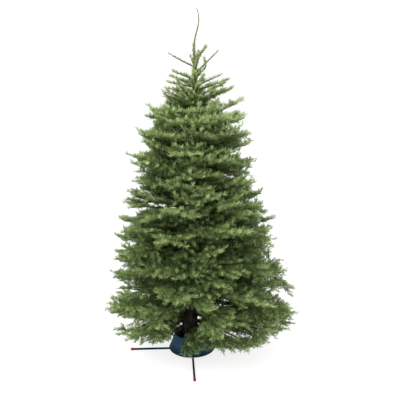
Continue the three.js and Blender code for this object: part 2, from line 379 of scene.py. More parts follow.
# height of a bough's tip, and the bough's rise above the horizon at its foot and at its tip
RISE = np.array([
    (0.20, -10, -6), (0.45, 2, -2), (0.80, 13, 3), (1.20, 22, 8), (1.50, 30, 16), (1.75, 38, 26),
])
RISE_DEVIATION = (3, 5)  # at the foot and at the tip
LAYERS = 19
BOUGHS_IN_LAYER = 10
LOWEST_TIP = 0.26
HIGHEST_TIP = 1.57
LAYER_DEVIATION = 0.020  # how far a bough's tip lies from its layer
LAYER_TILT = 0.022  # how far a layer may lie above its mean height on one side
AZIMUTH_DEVIATION = 5
GOLDEN_TURN = math.degrees(math.pi * (3 - math.sqrt(5)))
OUTER_REACH = (0.90, 0.99)  # of the outline
INNER_SHARE = 0.25  # of the boughs, that stop short and fill the crown's inside
INNER_REACH = (0.60, 0.86)  # of what they would reach otherwise
# the share of a bough's length, from its foot, without side branches
BARE = 0.24
LOW_BARE = 0.14  # where the tip is below this height
LOW_BOUGHS = 0.6

# ---- crown: shoots with places of their own ----

# short shoots straight from the trunk, between the boughs
INNER_SHOOTS = 130
INNER_FOOT = 0.30
INNER_SPAN = 1.3
INNER_LENGTH = (0.35, 0.6)  # as a share of the crown's reach
INNER_RISE = (42, 8)  # mean and deviation, at the foot and at the tip
INNER_TIP_RISE = (30, 8)
INNER_SPREAD = 0.5
INNER_BARE = 0.3

# the lowest boughs, that hang over the stand: direction, reach from the trunk, height of the tip
SKIRT = [
    (182, 0.49, 0.25), (203, 0.47, 0.21), (222, 0.42, 0.225), (236, 0.36, 0.195), (306, 0.40, 0.185),
    (319, 0.44, 0.165), (325, 0.38, 0.130), (332, 0.46, 0.150), (340, 0.42, 0.105), (345, 0.48, 0.140),
    (354, 0.63, 0.28), (8, 0.62, 0.25), (30, 0.56, 0.20), (52, 0.52, 0.16), (72, 0.48, 0.14),
    (92, 0.46, 0.13), (112, 0.46, 0.13), (134, 0.48, 0.15), (156, 0.50, 0.19), (150, 0.22, 0.16),
    (170, 0.23, 0.185), (188, 0.24, 0.170), (207, 0.25, 0.190), (240, 0.34, 0.220), (232, 0.30, 0.175),
    (216, 0.24, 0.150), (198, 0.21, 0.115), (358, 0.62, 0.215), (12, 0.60, 0.170),
]
SKIRT_RISE = (-10, -6)
SKIRT_BARE = 0.14
# short boughs that arch over the bucket's rim and hang down round it, given in the same way
APRON = [
    (259, 0.24, 0.10), (268, 0.24, 0.10), (277, 0.25, 0.11), (288, 0.27, 0.13), (299, 0.30, 0.15),
    (311, 0.30, 0.19), (70, 0.34, 0.10), (88, 0.33, 0.10), (106, 0.34, 0.09), (124, 0.35, 0.09),
    (142, 0.36, 0.10), (160, 0.36, 0.11), (178, 0.36, 0.115), (196, 0.34, 0.145), (213, 0.32, 0.180),
    (230, 0.28, 0.180), (186, 0.26, 0.120), (205, 0.24, 0.130),
]
APRON_RISE = (2, -34)
APRON_BARE = 0.38

# the last shoots round the leader: height of the foot, direction, rise at the foot and at the tip, length,
# spread of the side branches, length of the needles
TOP_SHOOTS = [
    (1.575, 0, 26, 24, 0.245, 0.45, 1), (1.560, 38, 30, 26, 0.230, 0.45, 1),
    (1.570, 80, 30, 26, 0.200, 0.45, 1), (1.560, 125, 30, 26, 0.220, 0.45, 1),
    (1.565, 168, 30, 34, 0.185, 0.45, 1), (1.560, 203, 26, 22, 0.200, 0.45, 1),
    (1.575, 230, 48, 42, 0.150, 0.30, 1), (1.560, 264, 30, 24, 0.170, 0.45, 1),
    (1.565, 310, 32, 26, 0.200, 0.45, 1), (1.570, 276, 40, 12, 0.170, 0.30, 1),
    (1.600, 262, 42, 14, 0.140, 0, 1), (1.625, 286, 46, 22, 0.130, 0, 1),
    (1.660, 264, 46, 28, 0.110, 0, 1), (1.600, 186, 20, 16, 0.190, 0, 1),
    (1.590, 350, 24, 20, 0.225, 0, 1), (1.610, 216, 40, 50, 0.170, 0, 0.95),
    (1.620, 345, 26, 24, 0.200, 0.35, 1), (1.630, 50, 28, 24, 0.170, 0.35, 1),
    (1.630, 130, 28, 24, 0.160, 0.35, 1), (1.620, 232, 30, 24, 0.140, 0, 1),
    (1.640, 282, 26, 18, 0.150, 0, 1), (1.655, 300, 40, 34, 0.130, 0, 1),
    (1.645, 196, 12, 10, 0.165, 0, 0.95), (1.660, 358, 20, 17, 0.205, 0, 1.1),
    (1.660, 328, 54, 57, 0.110, 0, 0.9), (1.675, 65, 26, 24, 0.130, 0.30, 1),
    (1.680, 140, 24, 22, 0.120, 0, 1), (1.685, 181, 8, 12, 0.155, 0, 0.95),
    (1.690, 8, 22, 24, 0.170, 0, 0.9), (1.700, 240, 30, 26, 0.110, 0, 1),
    (1.706, 177, 14, 18, 0.150, 0, 0.95), (1.715, 270, 38, 20, 0.100, 0, 1),
    (1.728, 182, 18, 24, 0.130, 0, 0.95), (1.725, 300, 35, 30, 0.090, 0, 1),
    (1.730, 70, 35, 30, 0.090, 0, 1), (1.735, 20, 40, 50, 0.060, 0, 1),
    (1.765, 0, 42, 45, 0.185, 0, 0.45), (1.762, 350, 4, 112, 0.130, 0, 0.9),
    (1.780, 300, 60, 70, 0.100, 0, 0.9), (1.790, 60, 62, 72, 0.110, 0, 0.9),
    (1.802, 180, 22, 32, 0.170, 0, 0.55), (1.800, 12, 72, 66, 0.090, 0, 1),
    (1.815, 185, 58, 66, 0.055, 0, 0.8), (1.830, 350, 50, 54, 0.110, 0, 1),
]
TOP_BARE = 0.12
# the needles on the trunk itself: from what height, up to what height, and how long
LEADER_NEEDLES = [
    (1.48, 1.78, 1.5),
    (1.60, 1.78, 1.4),
    (1.64, 1.80, 1.3),
    (1.78, 1.845, 1.1),
    (1.845, 1.925, 0.75),
]
LEADER_CORE = (0.004, 0.002)  # radii of the shoots inside the trunk that carry them

# ---- crown: gaps ----

# The gaps are upright slots from front to back. Each has its middle and half its width from side to side,
# its floor and ceiling at the trunk's line, their rise for each metre towards the front, and how far in
# front of the trunk's line it starts, which is less than nothing where it runs through the crown.
CLEARINGS = [  # without any shoot: they leave the butt, the bucket's left side and the left leg in view
    (-0.012, 0.055, 0.150, 0.260, 0.45, 0.10),
    (-0.092, 0.022, -0.030, 0.150, 0.50, 0.10),
    (-0.270, 0.100, -0.300, 0.015, 0.525, 0.05),
]
SKY_GAPS = [  # with few side shoots: the sky shows between the boughs, and under the crown on the right
    (-0.330, 0.075, 0.140, 0.200, 0.47, -0.7),
    (-0.355, 0.040, 0.365, 0.420, 0.39, -0.7),
    (-0.150, 0.085, 0.940, 0.972, 0.21, -0.7),
    (-0.140, 0.022, 1.088, 1.108, 0.17, -0.7),
    (0.205, 0.060, 0.285, 0.340, 0.42, -0.7),
    (0.260, 0.080, 0.085, 0.115, 0.50, -0.7),
    (0.600, 0.110, -0.300, 0.100, 0.50, -0.7),
]
CLEARED = 0.88  # the share of the side shoots that the sky gaps leave out

# ---- crown: how its shoots grow ----

BOUGH_STEPS, BRANCH_STEPS, FINGER_STEPS = 12, 4, 2
BOUGH_SIDES, TWIG_SIDES = 7, 3
BOUGH_RELIEF = 0.12  # how uneven the boughs are, as a share of their radius
BOUGH_ROOT = (0.0022, 0.0125)  # least radius at the foot, and what each metre of length adds
BOUGH_TIP = 0.0012  # radius
BOUGH_LIGHT = 0.35
BOUGH_NEEDLES = 0.9  # where a bough's needles start, as a share of its bare length
BOUGH_DEPTH = 0.5  # how far from the trunk's line a bough starts, as a share of the trunk's radius
BOUGH_WANDER = 0.010  # how far a bough wanders to its sides, as a share of its length
WANDER_WAVE = 5  # how much of a wave that makes, in radians, and how much its start may differ
WANDER_STARTS = 6
BEND_DEVIATION = 5  # degrees that a bough turns to one side
ROLL_DEVIATION = 12  # degrees that its spray is turned about it


class Habit(NamedTuple):
    """How the side shoots of one order grow from the shoots that carry them."""
    steps: int
    spacing: float  # between pairs
    jitter: float  # how far from its pair's place one stands
    shortest: float  # length at the carrier's tip
    lengthening: float  # what each metre back from there adds
    longest: float
    variation: tuple  # lowest and highest share of that length
    angle: float  # degrees from the carrier, at its tip
    opening: float  # degrees more at the carrier's foot
    lift: tuple  # above the plane of the spray: mean and deviation
    bend: float  # how much one turns along its carrier
    root: tuple  # as for a bough
    tip: float
    bare: float  # the share of its length without needles
    light_deviation: float


BRANCH = Habit(
    steps=BRANCH_STEPS, spacing=0.078, jitter=0.015, shortest=0.055, lengthening=0.50, longest=0.27,
    variation=(0.75, 1.12), angle=44, opening=14, lift=(0.04, 0.11), bend=0.32, root=(0.0012, 0.012),
    tip=0.0010, bare=0.05, light_deviation=0.08,
)
FINGER = Habit(
    steps=FINGER_STEPS, spacing=0.062, jitter=0.010, shortest=0.054, lengthening=0.42, longest=0.115,
    variation=(0.80, 1.15), angle=42, opening=0, lift=(0.11, 0.15), bend=0.30, root=(0.0010, 0.010),
    tip=0.0009, bare=0.0, light_deviation=0.06,
)
SPACING_VARIATION = (0.8, 1.2)
ANGLE_DEVIATION = 6
BRANCH_UPTURN = (0.05, 0.06)  # how much a side branch turns up: mean and deviation
BRANCH_END = 0.02  # the last of a bough's length, without a new pair of side branches
BRANCH_FURTHEST = 0.985  # as a share of the bough's length
# darker towards the trunk: partly the older needles' deeper green, partly painted shade inside the crown
BRANCH_LIGHT = 0.50  # how much lighter side branches are at their bough's tip than at its foot
FINGERED = 0.06  # shorter side branches have no fingers
FINGER_START = (0.030, 0.15)  # the first fingers' place, at least, and as a share of the side branch
FINGER_END = 0.015
# lighter on the outermost shoots: partly the fresh green, partly painted light
FINGER_LIGHT = 0.12  # how much lighter fingers are than their side branch


class Shoot(NamedTuple):
    """One shoot of any order, or with arrays in each place, many of one order."""
    path: np.ndarray  # its points from foot to tip
    top: np.ndarray  # the direction of its upper side
    root: float  # radius at the foot
    tip: float  # radius at the tip
    bare: float  # the share of its length without needles
    light: float  # how light its needles are: 0 for the darkest tint, 1 for the lightest
    needle: float  # the length of its needles, as a share of the usual length
    bough: int  # the number of the bough that it belongs to


boughs, branches, fingers = [], [], []


def columns(shoots):
    """Many shoots of one order as one row of arrays."""
    return Shoot(*(np.array(column) for column in zip(*shoots)))


def heading(azimuth, rise):
    """The unit vector for a direction round the trunk and a rise above the horizon, in degrees."""
    turn, slope = math.radians(azimuth), math.radians(rise)
    return np.array([math.cos(turn) * math.cos(slope), math.sin(turn) * math.cos(slope), math.sin(slope)])


def grow(start, leaving, turn, length, steps):
    """Points of a shoot that leaves along one unit vector and has turned by a vector at its tip."""
    shares = (np.arange(steps) + 0.5) / steps
    moves = unit(leaving + shares[:, None] * turn) * length / steps
    return start + np.vstack([np.zeros(3), np.cumsum(moves, axis=0)])


def at_height(table, height):
    """The values that belong to a height in a table, read between its rows."""
    return [np.interp(height, table[:, 0], column) for column in table[:, 1:].T]


def half_width(height, sideways):
    """How far the outline reaches at this height: sideways is 1 to the right and -1 to the left."""
    left, right = at_height(OUTLINE, height)
    return (left + right) / 2 + (right - left) / 2 * sideways


def reach(height, azimuth):
    """How far the crown reaches at this height and in this direction."""
    sideways = math.cos(math.radians(azimuth))
    return half_width(height, sideways) * (1 + DEEPER * (1 - sideways ** 2))


def in_gap(points, gaps):
    """Whether any of these points lies in one of these gaps."""
    middle, half_gap, low, high, rise, start = np.array(gaps).T
    front = -points[:, 1:2]
    above = points[:, 2:3] - rise * front
    aside = np.abs(points[:, 0:1] - middle)
    return bool(np.any((front > start) & (aside < half_gap) & (above > low) & (above < high)))


def is_left_out(own, points):
    """Whether a side shoot is missing for the sake of a gap."""
    return in_gap(points, CLEARINGS) or (in_gap(points, SKY_GAPS) and own.uniform() < CLEARED)


def pairs(own, habit, first, last, furthest):
    """Near-opposite pairs along a shoot: the hand of each side shoot, -1 or 1, and its place."""
    place = first
    while place < last:
        for hand in (-1, 1):
            yield hand, min(place + own.uniform(-habit.jitter, habit.jitter), furthest)
        place += habit.spacing * own.uniform(*SPACING_VARIATION)


def side_length(own, habit, from_tip):
    """The length of a side shoot this far from its carrier's tip."""
    length = (habit.shortest + habit.lengthening * from_tip) * own.uniform(*habit.variation)
    return min(habit.longest, length)


def side_heading(own, habit, share, hand, along, side, top):
    """The direction in which a side shoot leaves its carrier, at this share of the carrier's length."""
    angle = math.radians(own.normal(habit.angle + habit.opening * (1 - share), ANGLE_DEVIATION))
    lift = own.normal(*habit.lift)
    return unit(math.cos(angle) * along + math.sin(angle) * hand * side + lift * top)


def root_radius(root, length):
    """The radius at the foot of a shoot of this length."""
    least, thickening = root
    return least + thickening * length


def add_fingers(own, path, top, length, light, needle, bough):
    """Fingers in near-opposite pairs along one side branch."""
    span = path[-1] - path[0]
    along = unit(span)
    side = unit(np.cross(top, along))
    least, share = FINGER_START
    first = max(least, length * share)
    for hand, spot in pairs(own, FINGER, first, length - FINGER_END, length):
        size = side_length(own, FINGER, length - spot)
        leaving = side_heading(own, FINGER, spot / length, hand, along, side, top)
        points = grow(path[0] + span * spot / length, leaving, FINGER.bend * along, size, FINGER.steps)
        if is_left_out(own, points):
            continue
        own_light = light + own.normal(0, FINGER.light_deviation)
        root = root_radius(FINGER.root, size)
        fingers.append(Shoot(points, top, root, FINGER.tip, FINGER.bare, own_light, needle, bough))


def add_branches(own, path, length, top, spread, bare, needle, bough):
    """Side branches in near-opposite pairs along one bough, each with its fingers."""
    side = unit(np.cross(top, unit(path[-1] - path[0])))
    furthest = length * BRANCH_FURTHEST
    for hand, spot in pairs(own, BRANCH, length * bare, length - BRANCH_END, furthest):
        step = spot / length * BOUGH_STEPS
        low = min(int(step), BOUGH_STEPS - 1)
        move = path[low + 1] - path[low]
        along = unit(move)
        size = side_length(own, BRANCH, length - spot) * spread
        leaving = side_heading(own, BRANCH, spot / length, hand, along, side, top)
        turn = BRANCH.bend * along + own.normal(*BRANCH_UPTURN) * UP
        points = grow(path[low] + move * (step - low), leaving, turn, size, BRANCH.steps)
        if is_left_out(own, points):
            continue
        # darker towards the trunk: partly older needles, partly painted shade
        light = spot / length * BRANCH_LIGHT + own.normal(0, BRANCH.light_deviation)
        root = root_radius(BRANCH.root, size)
        branches.append(Shoot(points, top, root, BRANCH.tip, BRANCH.bare, light, needle, bough))
        if size > FINGERED:
            add_fingers(own, points, top, size, light + FINGER_LIGHT, needle, bough)


def add_bough(foot_height, azimuth, rise, tip_rise, length, spread=1.0, bare=BARE, needle=1.0):
    """A bough from inside the trunk, with its side branches unless their spread is 0."""
    own = np.random.default_rng(bough_seeds.spawn(1)[0])
    outward = heading(azimuth, 0)
    start = trunk_centre(foot_height) + outward * trunk_radius(foot_height) * BOUGH_DEPTH
    leaving = heading(azimuth, rise)
    turn = heading(azimuth + own.normal(0, BEND_DEVIATION), tip_rise) - leaving
    path = grow(start, leaving, turn, length, BOUGH_STEPS)
    if in_gap(path, CLEARINGS):
        return
    needle *= at_height(NEEDLE_SIZE, path[-1, 2])[0]
    waves = np.linspace(0, WANDER_WAVE, BOUGH_STEPS + 1) + own.uniform(0, WANDER_STARTS)
    wander = BOUGH_WANDER * length * np.sin(waves)
    side = unit(np.cross(UP, outward))
    path = path + wander[:, None] * side
    roll = math.radians(own.normal(0, ROLL_DEVIATION))
    top = unit(np.cross(unit(path[-1] - path[0]), side))
    top = top * math.cos(roll) + side * math.sin(roll)
    bough = len(boughs)
    root = root_radius(BOUGH_ROOT, length)
    boughs.append(Shoot(path, top, root, BOUGH_TIP, bare * BOUGH_NEEDLES, BOUGH_LIGHT, needle, bough))
    if spread > 0:
        add_branches(own, path, length, top, spread, bare, needle, bough)


def add_bough_to(azimuth, across, tip_height, rise, tip_rise, bare):
    """A bough whose tip comes out at this height and this far from the trunk."""
    mean_rise = math.radians((rise + tip_rise) / 2)
    foot_height = tip_height - across * math.tan(mean_rise)
    add_bough(foot_height, azimuth, rise, tip_rise, across / math.cos(mean_rise), bare=bare)


def grow_layers():
    """The boughs in their layers, each turned on from the last by the golden angle."""
    turn = 0.0
    for layer in range(LAYERS):
        layer_height = LOWEST_TIP + (HIGHEST_TIP - LOWEST_TIP) * layer / (LAYERS - 1)
        tilt, tilt_towards = rng.uniform(0, LAYER_TILT), rng.uniform(0, 360)
        for _ in range(BOUGHS_IN_LAYER):
            turn += GOLDEN_TURN
            azimuth = (turn + rng.normal(0, AZIMUTH_DEVIATION)) % 360
            tilted = tilt * math.cos(math.radians(azimuth - tilt_towards))
            tip_height = layer_height + tilted + rng.normal(0, LAYER_DEVIATION)
            rises = at_height(RISE, tip_height)
            rise, tip_rise = (mean + rng.normal(0, by) for mean, by in zip(rises, RISE_DEVIATION))
            across = reach(tip_height, azimuth) * rng.uniform(*OUTER_REACH)
            if rng.uniform() < INNER_SHARE:
                across *= rng.uniform(*INNER_REACH)
            bare = LOW_BARE if tip_height < LOW_BOUGHS else BARE
            add_bough_to(azimuth, across, tip_height, rise, tip_rise, bare)


def grow_top():
    """The last shoots round the leader, and the leader's own needles."""
    for foot_height, azimuth, rise, tip_rise, length, spread, needle in TOP_SHOOTS:
        add_bough(foot_height, azimuth, rise, tip_rise, length, spread, TOP_BARE, needle)
    for low, high, needle in LEADER_NEEDLES:
        path = trunk_centre(np.linspace(low, high, BOUGH_STEPS + 1))
        boughs.append(Shoot(path, BACK, *LEADER_CORE, bare=0.0, light=BOUGH_LIGHT, needle=needle,
                            bough=len(boughs)))


def grow_inside():
    """Short shoots straight from the trunk, that close the view through the crown."""
    for i in range(INNER_SHOOTS):
        foot_height = INNER_FOOT + INNER_SPAN * i / INNER_SHOOTS
        length = rng.uniform(*INNER_LENGTH) * reach(foot_height, 90)
        rise, tip_rise = rng.normal(*INNER_RISE), rng.normal(*INNER_TIP_RISE)
        add_bough(foot_height, i * GOLDEN_TURN, rise, tip_rise, length, INNER_SPREAD, INNER_BARE)


def grow_foot():
    """The lowest boughs, over the stand and round the bucket."""
    for azimuth, across, tip_height in SKIRT:
        add_bough_to(azimuth, across, tip_height, *SKIRT_RISE, SKIRT_BARE)
    for azimuth, across, tip_height in APRON:
        add_bough_to(azimuth, across, tip_height, *APRON_RISE, APRON_BARE)


# ---- needles ----

NEEDLES = 425_000
NEEDLE_PIECES = 5
TIERS = 9  # of packed foliage
NEEDLE_LENGTH = 0.023
NEEDLE_VARIATION = (0.86, 1.1)
NEEDLE_ROOT = 0.0019  # half its width at the root and at its blunt end
NEEDLE_END = 0.0011
# height of a bough's tip, and the length of its needles as a share of the usual length
NEEDLE_SIZE = np.array([
    (0.35, 0.95), (0.85, 1.12), (1.45, 1.12), (1.60, 0.95),
])

# how thickly shoots are needled: where a change starts, and over what distance it takes place
SPARSE = 0.28  # the share on the shaded shoots inside the crown
SHELL = (0.42, 0.30)  # from this share of the crown's reach outwards they are full
FULL_TOP = (1.50, 0.1)  # and above this height
FULL_FOOT = (0.55, 0.2)  # and below this one
THICK_TOP = (1.62, 0.1)  # above this height they are thicker still

# how needles stand on their shoot, in degrees: mean and deviation
NEEDLE_TURN = (0, 68)  # round the shoot, from its upper side
MOST_TURN = 150
NEEDLE_OPENING = (36, 6)  # away from the shoot
UPRIGHT_OPENING = 24  # more for those on the upper side
TIP_CLOSING = 30  # less, at most, at the shoot's end
SHOOT_END = (0.8, 0.2)  # the share of the shoot where that starts, and over what share
TILT_DEVIATION = 0.35  # of their broad side, in radians

# the needles' colours, from the shaded ones to the fresh tips
TINTS = [
    (0.038, 0.072, 0.022),
    (0.060, 0.102, 0.029),
    (0.094, 0.148, 0.043),
    (0.137, 0.202, 0.062),
    (0.187, 0.264, 0.086),
    (0.245, 0.330, 0.117),
    (0.310, 0.400, 0.152),
]
NEEDLE_ROUGHNESS = 0.5
NEEDLE_SPECULAR = 0.35
# how much lighter needles are: by height (painted light and shade), at a shoot's tip, on its upper side
# (painted light), everywhere, and by chance
# painted light and shade by height: lighter near the foot and over the top, darker in a band 0.6 to 0.75 m
# up
LIGHTER_BY_HEIGHT = np.array([
    (0.30, 0.08), (0.42, 0.05), (0.53, -0.01), (0.65, -0.15),
    (0.71, -0.14), (0.78, 0.01), (0.88, 0.02), (1.20, 0.03),
    (1.38, 0.12), (1.48, 0.29), (1.56, 0.32), (1.60, 0.30),
    (1.65, 0.50), (1.72, 0.62), (1.80, 0.45), (1.90, 0.22),
])
LIGHTER_TIP = 0.30
# painted light: needles that face up are lighter and those that face down darker
PAINTED_TOP_LIGHT = 0.22
LIGHTER = -0.04
LIGHT_DEVIATION = 0.05


class Stretch(NamedTuple):
    """Needled steps of shoots, as arrays."""
    start: np.ndarray
    move: np.ndarray
    top: np.ndarray
    share: np.ndarray  # of the shoot's length, at the start
    share_step: np.ndarray  # of the shoot's length, over the step
    light: np.ndarray
    needle: np.ndarray
    bough: np.ndarray


def needled_stretches():
    """Every needled step of every shoot."""
    found = []
    for shoots in (boughs, branches, fingers):
        shoot = columns(shoots)
        steps = shoot.path.shape[1] - 1
        for step in range(steps):
            kept = (step + 0.5) / steps > shoot.bare
            start = shoot.path[kept, step]
            move = shoot.path[kept, step + 1] - start
            share, share_step = (np.full(len(start), value / steps) for value in (step, 1))
            rest = (field[kept] for field in (shoot.light, shoot.needle, shoot.bough))
            found.append((start, move, shoot.top[kept], share, share_step, *rest))
    return Stretch(*(np.concatenate(column) for column in zip(*found)))


def fade(value, start, distance):
    """0 up to a start, 1 from this distance beyond it."""
    return np.clip((value - start) / distance, 0, 1)


def outwardness(points):
    """How far out in the crown points lie: 0 at the trunk, 1 at the outline."""
    centred = points - trunk_centre(points[:, 2])
    across = np.hypot(centred[:, 0], centred[:, 1])
    return across / half_width(points[:, 2], centred[:, 0] / np.maximum(across, 1e-6))


def fullness(points):
    """How thickly the shoots here are needled: 0 for sparsely, 1 for fully, and up to 2 at the top."""
    height = points[:, 2]
    foot, distance = FULL_FOOT
    full = np.maximum(fade(outwardness(points), *SHELL), fade(height, *FULL_TOP))
    full = np.maximum(full, fade(-height, -foot, distance))
    return full + fade(height, *THICK_TOP)


def spread_needles(stretch):
    """Where the needles stand: the number of each one's stretch, and its share of that stretch."""
    lengths = np.linalg.norm(stretch.move, axis=1)
    weights = lengths * (SPARSE + (1 - SPARSE) * fullness(stretch.start))
    ends = np.cumsum(weights)
    spots = (np.arange(NEEDLES) + rng.uniform(0, 1, NEEDLES)) * ends[-1] / NEEDLES
    chosen = np.minimum(np.searchsorted(ends, spots), len(ends) - 1)
    return chosen, 1 - (ends[chosen] - spots) / weights[chosen]


def between(first, second, angle):
    """The directions at this angle from the first ones, towards the second ones, square to them."""
    return first * np.cos(angle)[:, None] + second * np.sin(angle)[:, None]


def aim_needles(along, top, on_shoot):
    """The needles' directions out of the shoot, from root to end, and across their broad side."""
    across = unit(np.cross(along, top))
    above = np.cross(across, along)
    turn = np.radians(np.clip(rng.normal(*NEEDLE_TURN, NEEDLES), -MOST_TURN, MOST_TURN))
    upright = np.clip(np.cos(turn), 0, 1)
    opening = rng.normal(*NEEDLE_OPENING, NEEDLES) + UPRIGHT_OPENING * upright
    opening = opening - fade(on_shoot, *SHOOT_END) * rng.uniform(0, TIP_CLOSING, NEEDLES)
    outward = between(above, across, turn)
    pointing = between(along, outward, np.radians(opening))
    level = unit(along - pointing * np.sum(along * pointing, axis=1, keepdims=True))
    tilt = (1 - np.abs(np.sin(turn))) * np.pi / 2 + rng.normal(0, TILT_DEVIATION, NEEDLES)
    broad = between(level, np.cross(pointing, level), tilt)
    return outward, pointing, broad


def place_needles():
    """Needles' corner points (n, 4, 3), tints and boughs, spread along all the needled length."""
    stretch = needled_stretches()
    chosen, part = spread_needles(stretch)
    move = stretch.move[chosen]
    on_shoot = stretch.share[chosen] + stretch.share_step[chosen] * part
    outward, pointing, broad = aim_needles(unit(move), stretch.top[chosen], on_shoot)

    length = NEEDLE_LENGTH * stretch.needle[chosen] * rng.uniform(*NEEDLE_VARIATION, NEEDLES)
    root = stretch.start[chosen] + move * part[:, None]
    end = root + pointing * length[:, None]
    at_root = broad * NEEDLE_ROOT
    at_end = broad * NEEDLE_END
    corners = np.stack([root - at_root, root + at_root, end + at_end, end - at_end], axis=1)

    # painted light and shade: by height, and on the needles' upper and lower sides
    light = stretch.light[chosen] + at_height(LIGHTER_BY_HEIGHT, root[:, 2])[0]
    light = light + LIGHTER_TIP * on_shoot ** 2 + PAINTED_TOP_LIGHT * outward[:, 2] + LIGHTER
    light = light + rng.normal(0, LIGHT_DEVIATION, NEEDLES)
    lightest = len(TINTS) - 1
    tints = np.clip(np.round(light * lightest), 0, lightest).astype(int)
    return corners, tints, stretch.bough[chosen]


def pieces_of_boughs(needles_boughs):
    """The number of the piece that each bough's needles go to: lowest boughs first, in even shares."""
    feet = columns(boughs).path[:, 0, 2]
    order = np.argsort(feet, kind="stable")
    counts = np.bincount(needles_boughs, minlength=len(feet))[order]
    pieces = np.empty(len(feet), int)
    pieces[order] = np.minimum(np.cumsum(counts) * NEEDLE_PIECES // (NEEDLES + 1), NEEDLE_PIECES - 1)
    return pieces


def make_needles():
    """The needles, in a few pieces from the lowest boughs to the top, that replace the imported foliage."""
    corners, tints, bough = place_needles()
    pieces = pieces_of_boughs(bough)[bough]
    materials = [plain_material(f"needle_{i + 1}", tint, NEEDLE_ROUGHNESS, NEEDLE_SPECULAR)
                 for i, tint in enumerate(TINTS)]
    tiers = np.array_split(np.arange(1, TIERS + 1), NEEDLE_PIECES)
    for number in range(NEEDLE_PIECES):
        own = pieces == number
        points = corners[own].reshape(-1, 3)
        faces = np.arange(len(points)).reshape(-1, 4)
        piece = make_mesh(f"needles_{number + 1}", points, faces, materials, tints[own], smooth=False)
        nodes = nodes_named(*(f"foliage_{tier}_" for tier in tiers[number]))
        if number == NEEDLE_PIECES - 1:
            nodes += nodes_named("top_shoot_")
        declare(piece, nodes)


# ---- wood ----

BARK_RELIEF = 0.06  # as a share of the trunk's radius
BARK_GRAIN = (2.2, 14)  # how fine the relief's pattern is, round the trunk and for each metre up
BARK_FRACTAL = (0.7, 2.1, 4)  # how fast its finer waves die away, how much finer each is, and how many
BUTT_TOP = 0.36  # the rings of points are close together below this height
BUTT_STEP = 0.003
TRUNK_STEP = 0.008


def shoot_tubes(shoots, sides, relief=0.0):
    """Points and quads of many shoots of one order, uneven by this share of their radii."""
    shoot = columns(shoots)
    shares = np.linspace(0, 1, shoot.path.shape[1])
    radii = shoot.root[:, None] + (shoot.tip - shoot.root)[:, None] * shares
    uneven = relief * radii[:, :, None] * rng.uniform(-1, 1, (*radii.shape, sides))
    return tubes(shoot.path, shoot.top, radii, uneven)


def trunk_relief(heights):
    """The bark's relief on the trunk, on a grid of heights and turns, in metres."""
    turns = 2 * np.pi * np.arange(TRUNK_SIDES) / TRUNK_SIDES
    depth = BARK_RELIEF * trunk_radius(heights)
    relief = np.empty((len(heights), TRUNK_SIDES))
    round_trunk, upwards = BARK_GRAIN
    for row, height in enumerate(heights):
        for column, turn in enumerate(turns):
            spot = Vector((math.cos(turn) * round_trunk, math.sin(turn) * round_trunk, height * upwards))
            relief[row, column] = noise.fractal(spot, *BARK_FRACTAL)
    return relief * depth[:, None]


def make_wood():
    """The boughs, the twigs and the trunk."""
    bark = bark_material()
    limbs = make_mesh("boughs", *shoot_tubes(boughs, BOUGH_SIDES, BOUGH_RELIEF), [limb_material()])
    declare(limbs, nodes_named("bough_"))
    twig_bark = plain_material("twig_bark", (0.062, 0.068, 0.028), roughness=0.8, specular=0.2)
    twig_parts = [shoot_tubes(shoots, TWIG_SIDES) for shoots in (branches, fingers)]
    declare(make_mesh("twigs", *join(twig_parts), [twig_bark]))
    butt = np.arange(TRUNK_FOOT, BUTT_TOP, BUTT_STEP)
    heights = np.concatenate([butt, np.arange(BUTT_TOP, TREE_TOP, TRUNK_STEP), [TREE_TOP]])
    relief = trunk_relief(heights)
    stem = tubes(trunk_centre(heights)[None], BACK[None], trunk_radius(heights)[None], relief[None])
    declare(make_mesh("trunk_bark", *stem, [bark]), ["trunk"])


# ---- stand ----

POLE = 1e-5  # the radius at which a turned shape counts as closed
LEGS = 4
LEG_TURN = 3  # degrees that the first leg is turned from the right
LEG_REACH = 0.402
ROD_RADIUS = 0.0065
CAP = {"radius": 0.0082, "length": 0.026, "end": 0.003, "rounding": 0.005, "lip": (0.0006, 0.0008)}
ROD_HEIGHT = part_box("leg_cap_1")[0].z + CAP["radius"]
HUB_RADIUS = 0.060
HUB_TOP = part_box("stand_hub")[1].z
BUCKET_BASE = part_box("stand_bucket")[0].z
BUCKET_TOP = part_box("stand_bucket")[1].z
BUCKET = {"foot": 0.150, "mouth": 0.113, "wall": 0.003, "bead": 0.004}
SCREW = {"height": 0.104, "radius": 0.0045, "reach": 0.166, "point": 0.001}
THREAD = {"start": 0.004, "pitch": 0.0025, "groove": 0.0006}
NUT = {"radius": 0.0095, "length": 0.008, "gap": 0.002}
HANDLE = {"radius": 0.0036, "length": 0.060, "edge": 0.002}
BAR_EDGE = 0.0006
HUB_EDGE = 0.0015
SHARP = 38  # degrees between two faces from which their edge stays sharp
# sides of the turned shapes
BUCKET_SIDES, HUB_SIDES, ROD_SIDES, SCREW_SIDES, NUT_SIDES = 128, 64, 24, 16, 6


def numbered(name):
    """The nodes of a kind, one for each leg."""
    return [f"{name}_{i + 1}" for i in range(LEGS)]


def bar(radius, start, end, edge=BAR_EDGE):
    """The profile of a round bar with softened ends."""
    return [(POLE, start), *rounded(radius - edge, start + edge, edge, -90, 0, 3),
            *rounded(radius - edge, end - edge, edge, 0, 90, 3), (POLE, end)]


def cap_profile():
    """A leg's cap, from its rounded end to its open one."""
    radius, length, rounding = (CAP[key] for key in ("radius", "length", "rounding"))
    lip, lip_length = CAP["lip"]
    return [(POLE, 0), *rounded(radius - rounding, rounding, rounding, -90, 0),
            (radius, length - lip_length), (radius - lip, length), (ROD_RADIUS, length)]


